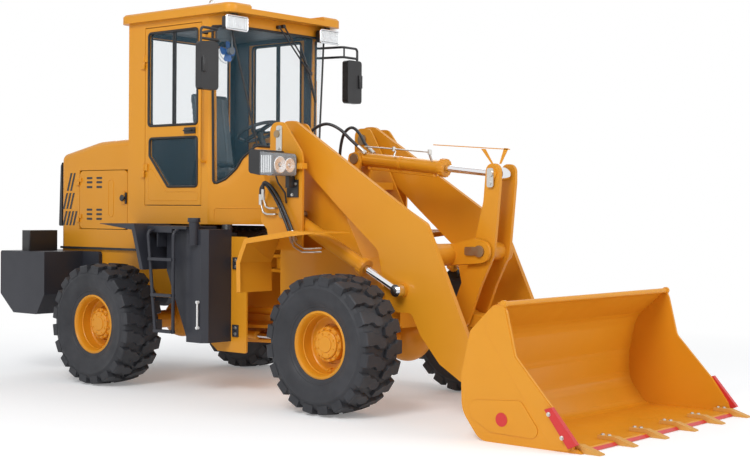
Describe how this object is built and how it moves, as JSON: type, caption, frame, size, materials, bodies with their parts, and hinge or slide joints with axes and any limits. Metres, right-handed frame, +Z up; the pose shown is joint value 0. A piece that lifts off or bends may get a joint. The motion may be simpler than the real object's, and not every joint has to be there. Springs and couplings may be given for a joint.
{
  "type": "wheel loader",
  "caption": "Compact articulated wheel loader with cab, bucket, loader arms with lift and tilt cylinders, steering joint, opening doors and turning wheels.",
  "frame": {"origin": "on the ground, in the middle of the overall length and width", "axes": "+X forward (towards the bucket), +Y the machine's left, +Z up"},
  "size_m": [6.514, 2.302, 3.24],
  "materials": {
    "yellow_paint": "satin yellow paint",
    "black_paint": "satin black paint",
    "black_plastic": "fine grained",
    "bare_steel": "ground",
    "edge_paint": "thin yellow paint over forged steel",
    "red_paint": "satin red paint",
    "chrome_rod": "hard chrome plate",
    "glass": "clear safety glass, slight blue tint",
    "tyre_rubber": "matt rubber",
    "seat_cover": "dark grey vinyl and fabric",
    "engine_grey": "painted cast iron"
  },
  "bodies": {
    "rear_frame": {"rear_frame": "yellow_paint", "hinge_pins": "bare_steel", "counterweight": "black_paint", "hood": "yellow_paint", "rear_grille": "black_plastic", "engine": "engine_grey", "gearbox": "yellow_paint", "rear_axle": "yellow_paint", "tank_left": "black_paint", "tank_right": "black_paint", "decks": "black_paint", "ladders": "black_paint", "rear_fenders": "black_paint", "cab_frame": "yellow_paint", "cab_glass": "glass", "cab_roof": "yellow_paint", "cab_mounts": "black_plastic", "seat": "seat_cover", "console": "black_plastic", "handrails": "yellow_paint", "mirrors": "black_plastic", "work_lights": "black_plastic"},
    "front_frame": {"front_frame": "yellow_paint", "frame_pins": "bare_steel", "front_axle": "yellow_paint", "front_fenders": "yellow_paint", "headlights": "black_plastic"},
    "boom": {"boom": "yellow_paint"},
    "bucket_pins": {"bucket_pins": "bare_steel"},
    "bucket": {"bucket": "yellow_paint", "bucket_teeth": "edge_paint", "side_cutters": "red_paint"},
    "rocker_pin": {"rocker_pin": "bare_steel"},
    "rocker": {"rocker": "yellow_paint"},
    "link_pin": {"link_pin": "bare_steel"},
    "link": {"link": "yellow_paint"},
    "tilt_barrel": {"tilt_barrel": "yellow_paint"},
    "tilt_rod": {"tilt_rod": "chrome_rod"},
    "lift_left_barrel": {"lift_left_barrel": "yellow_paint"},
    "lift_left_rod": {"lift_left_rod": "chrome_rod"},
    "steer_left_barrel": {"steer_left_barrel": "yellow_paint"},
    "steer_left_rod": {"steer_left_rod": "chrome_rod"},
    "door_left": {"door_left": "yellow_paint", "door_glass_left": "glass"},
    "engine_door_left": {"engine_door_left": "yellow_paint"},
    "wheel_front_left": {"rim_front_left": "yellow_paint", "tyre_front_left": "tyre_rubber"},
    "wheel_rear_left": {"rim_rear_left": "yellow_paint", "tyre_rear_left": "tyre_rubber"},
    "lift_right_barrel": {"lift_right_barrel": "yellow_paint"},
    "lift_right_rod": {"lift_right_rod": "chrome_rod"},
    "steer_right_barrel": {"steer_right_barrel": "yellow_paint"},
    "steer_right_rod": {"steer_right_rod": "chrome_rod"},
    "door_right": {"door_right": "yellow_paint", "door_glass_right": "glass"},
    "engine_door_right": {"engine_door_right": "yellow_paint"},
    "wheel_front_right": {"rim_front_right": "yellow_paint", "tyre_front_right": "tyre_rubber"},
    "wheel_rear_right": {"rim_rear_right": "yellow_paint", "tyre_rear_right": "tyre_rubber"}
  },
  "joints": [
    {"name": "articulation", "type": "hinge", "parent": "rear_frame", "child": "front_frame", "pos_m": [-0.5, 0, 0.76], "axis": [0, 0, 1], "range_deg": [-35, 35]},
    {"name": "wheel_front_left_spin", "type": "hinge", "parent": "front_frame", "child": "wheel_front_left", "pos_m": [0.8325, 0.89, 0.525], "axis": [0, 1, 0], "continuous": true},
    {"name": "wheel_rear_left_spin", "type": "hinge", "parent": "rear_frame", "child": "wheel_rear_left", "pos_m": [-1.8325, 0.89, 0.525], "axis": [0, 1, 0], "continuous": true},
    {"name": "wheel_front_right_spin", "type": "hinge", "parent": "front_frame", "child": "wheel_front_right", "pos_m": [0.8325, -0.89, 0.525], "axis": [0, 1, 0], "continuous": true},
    {"name": "wheel_rear_right_spin", "type": "hinge", "parent": "rear_frame", "child": "wheel_rear_right", "pos_m": [-1.8325, -0.89, 0.525], "axis": [0, 1, 0], "continuous": true},
    {"name": "boom_lift", "type": "hinge", "parent": "front_frame", "child": "boom", "pos_m": [0.013, 0, 2.133], "axis": [0, -1, 0], "range_deg": [0, 70]},
    {"name": "bucket_pins_turn", "type": "hinge", "parent": "boom", "child": "bucket_pins", "pos_m": [2.105, 0, 0.262], "axis": [0, 1, 0], "range_deg": [0, 70]},
    {"name": "bucket_tilt", "type": "hinge", "parent": "bucket_pins", "child": "bucket", "pos_m": [2.105, 0, 0.262], "axis": [0, 1, 0], "range_deg": [-45, 45]},
    {"name": "rocker_pin_turn", "type": "hinge", "parent": "boom", "child": "rocker_pin", "pos_m": [1.649, 0, 1.223], "axis": [0, -1, 0], "range_deg": [0, 38.09]},
    {"name": "rocker_turn", "type": "hinge", "parent": "rocker_pin", "child": "rocker", "pos_m": [1.649, 0, 1.223], "axis": [0, -1, 0], "range_deg": [-16.45, 16.45]},
    {"name": "link_pin_turn", "type": "hinge", "parent": "bucket", "child": "link_pin", "pos_m": [2.048, 0, 0.605], "axis": [0, -1, 0], "range_deg": [0, 51.39]},
    {"name": "link_turn", "type": "hinge", "parent": "link_pin", "child": "link", "pos_m": [2.048, 0, 0.605], "axis": [0, -1, 0], "range_deg": [-50.68, 50.68]},
    {"name": "tilt_barrel_turn", "type": "hinge", "parent": "front_frame", "child": "tilt_barrel", "pos_m": [0.331, 0, 1.948], "axis": [0, -1, 0], "range_deg": [0, 74.49]},
    {"name": "tilt_rod_slide", "type": "slide", "parent": "tilt_barrel", "child": "tilt_rod", "axis": [0.995, 0, -0.1003], "range_m": [-0.1624, 0.1624]},
    {"name": "lift_left_barrel_turn", "type": "hinge", "parent": "front_frame", "child": "lift_left_barrel", "pos_m": [0.073, 0.5775, 1.49], "axis": [0, -1, 0], "range_deg": [0, 68.88]},
    {"name": "lift_left_rod_slide", "type": "slide", "parent": "lift_left_barrel", "child": "lift_left_rod", "axis": [0.8939, 0, -0.4482], "range_m": [0, 0.7403]},
    {"name": "lift_right_barrel_turn", "type": "hinge", "parent": "front_frame", "child": "lift_right_barrel", "pos_m": [0.073, -0.5775, 1.49], "axis": [0, -1, 0], "range_deg": [0, 68.88]},
    {"name": "lift_right_rod_slide", "type": "slide", "parent": "lift_right_barrel", "child": "lift_right_rod", "axis": [0.8939, 0, -0.4482], "range_m": [0, 0.7403]},
    {"name": "steer_left_barrel_turn", "type": "hinge", "parent": "rear_frame", "child": "steer_left_barrel", "pos_m": [-0.98, 0.27, 0.46], "axis": [0, 0, 1], "range_deg": [-11.84, 11.84]},
    {"name": "steer_left_rod_slide", "type": "slide", "parent": "steer_left_barrel", "child": "steer_left_rod", "axis": [0.9975, 0.0702, 0], "range_m": [-0.1815, 0.1815]},
    {"name": "steer_right_barrel_turn", "type": "hinge", "parent": "rear_frame", "child": "steer_right_barrel", "pos_m": [-0.98, -0.27, 0.46], "axis": [0, 0, 1], "range_deg": [-11.84, 11.84]},
    {"name": "steer_right_rod_slide", "type": "slide", "parent": "steer_right_barrel", "child": "steer_right_rod", "axis": [0.9975, -0.0702, 0], "range_m": [-0.1815, 0.1815]},
    {"name": "door_left_turn", "type": "hinge", "parent": "rear_frame", "child": "door_left", "pos_m": [-1.62, 0.664, 2.3], "axis": [0, 0, 1], "range_deg": [0, 100]},
    {"name": "door_right_turn", "type": "hinge", "parent": "rear_frame", "child": "door_right", "pos_m": [-1.62, -0.664, 2.3], "axis": [0, 0, -1], "range_deg": [0, 100]},
    {"name": "engine_door_left_turn", "type": "hinge", "parent": "rear_frame", "child": "engine_door_left", "pos_m": [-2.665, 0.561, 1.6], "axis": [0, 0, 1], "range_deg": [0, 100]},
    {"name": "engine_door_right_turn", "type": "hinge", "parent": "rear_frame", "child": "engine_door_right", "pos_m": [-2.665, -0.561, 1.6], "axis": [0, 0, -1], "range_deg": [0, 100]}
  ],
  "couplings": [
    {"joint": "bucket_pins_turn", "follows": "boom_lift", "ratio": 1},
    {"joint": "rocker_pin_turn", "follows": "boom_lift", "ratio": 0.544},
    {"joint": "rocker_turn", "follows": "bucket_tilt", "ratio": 0.3655},
    {"joint": "link_pin_turn", "follows": "boom_lift", "ratio": 0.734},
    {"joint": "link_turn", "follows": "bucket_tilt", "ratio": 1.126},
    {"joint": "tilt_barrel_turn", "follows": "boom_lift", "ratio": 1.064},
    {"joint": "tilt_rod_slide", "follows": "bucket_tilt", "m_per_rad": -0.2067},
    {"joint": "lift_left_barrel_turn", "follows": "boom_lift", "ratio": 0.98389},
    {"joint": "lift_left_rod_slide", "follows": "boom_lift", "m_per_rad": 0.60584},
    {"joint": "lift_right_barrel_turn", "follows": "boom_lift", "ratio": 0.98389},
    {"joint": "lift_right_rod_slide", "follows": "boom_lift", "m_per_rad": 0.60584},
    {"joint": "steer_left_barrel_turn", "follows": "articulation", "ratio": 0.338},
    {"joint": "steer_left_rod_slide", "follows": "articulation", "m_per_rad": -0.297},
    {"joint": "steer_right_barrel_turn", "follows": "articulation", "ratio": 0.338},
    {"joint": "steer_right_rod_slide", "follows": "articulation", "m_per_rad": 0.297}
  ]
}
